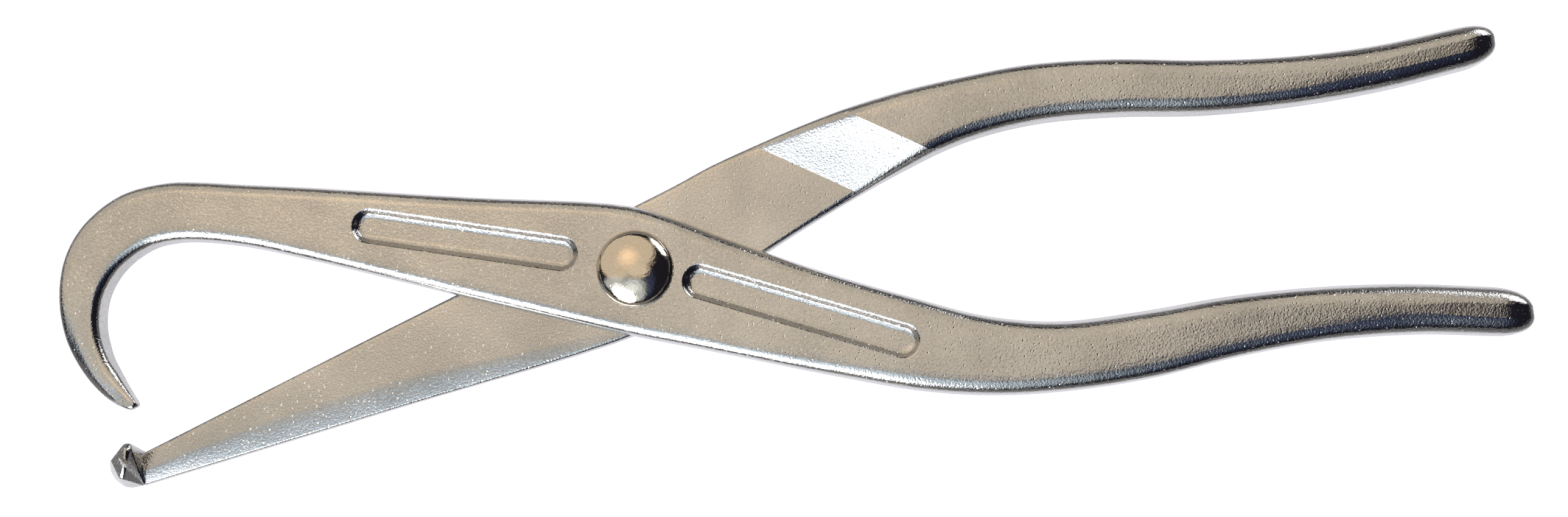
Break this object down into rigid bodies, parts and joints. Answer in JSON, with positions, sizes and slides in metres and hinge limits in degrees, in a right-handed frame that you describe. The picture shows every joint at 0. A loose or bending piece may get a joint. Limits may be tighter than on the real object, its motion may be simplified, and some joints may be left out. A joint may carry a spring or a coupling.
{
  "type": "brake spring pliers",
  "caption": "Long plated steel pliers whose curved hook jaw and blunt claw jaw stretch a drum brake's return spring over its anchor.",
  "frame": {"origin": "rivet axis, in the plane of the tool's flat back, at the centre of the rivet's peened tail", "axes": "+X between the two grips, -X between the two jaws, +Z along the rivet towards its domed head, +Y to the claw lever's grip"},
  "size_m": [0.3213, 0.0729, 0.0169],
  "materials": {
    "plated_steel": "bright plating over a slightly grainy forged skin",
    "bright_rivet": "smooth bright plating"
  },
  "bodies": {
    "hook_side": {"hook_lever": "plated_steel", "pivot_rivet": "bright_rivet"},
    "claw_side": {"claw_lever": "plated_steel"}
  },
  "joints": [
    {"name": "pivot", "type": "hinge", "parent": "hook_side", "child": "claw_side", "pos_m": [0, 0, 0.006], "axis": [0, 0, 1], "range_deg": [-4, 100]}
  ]
}
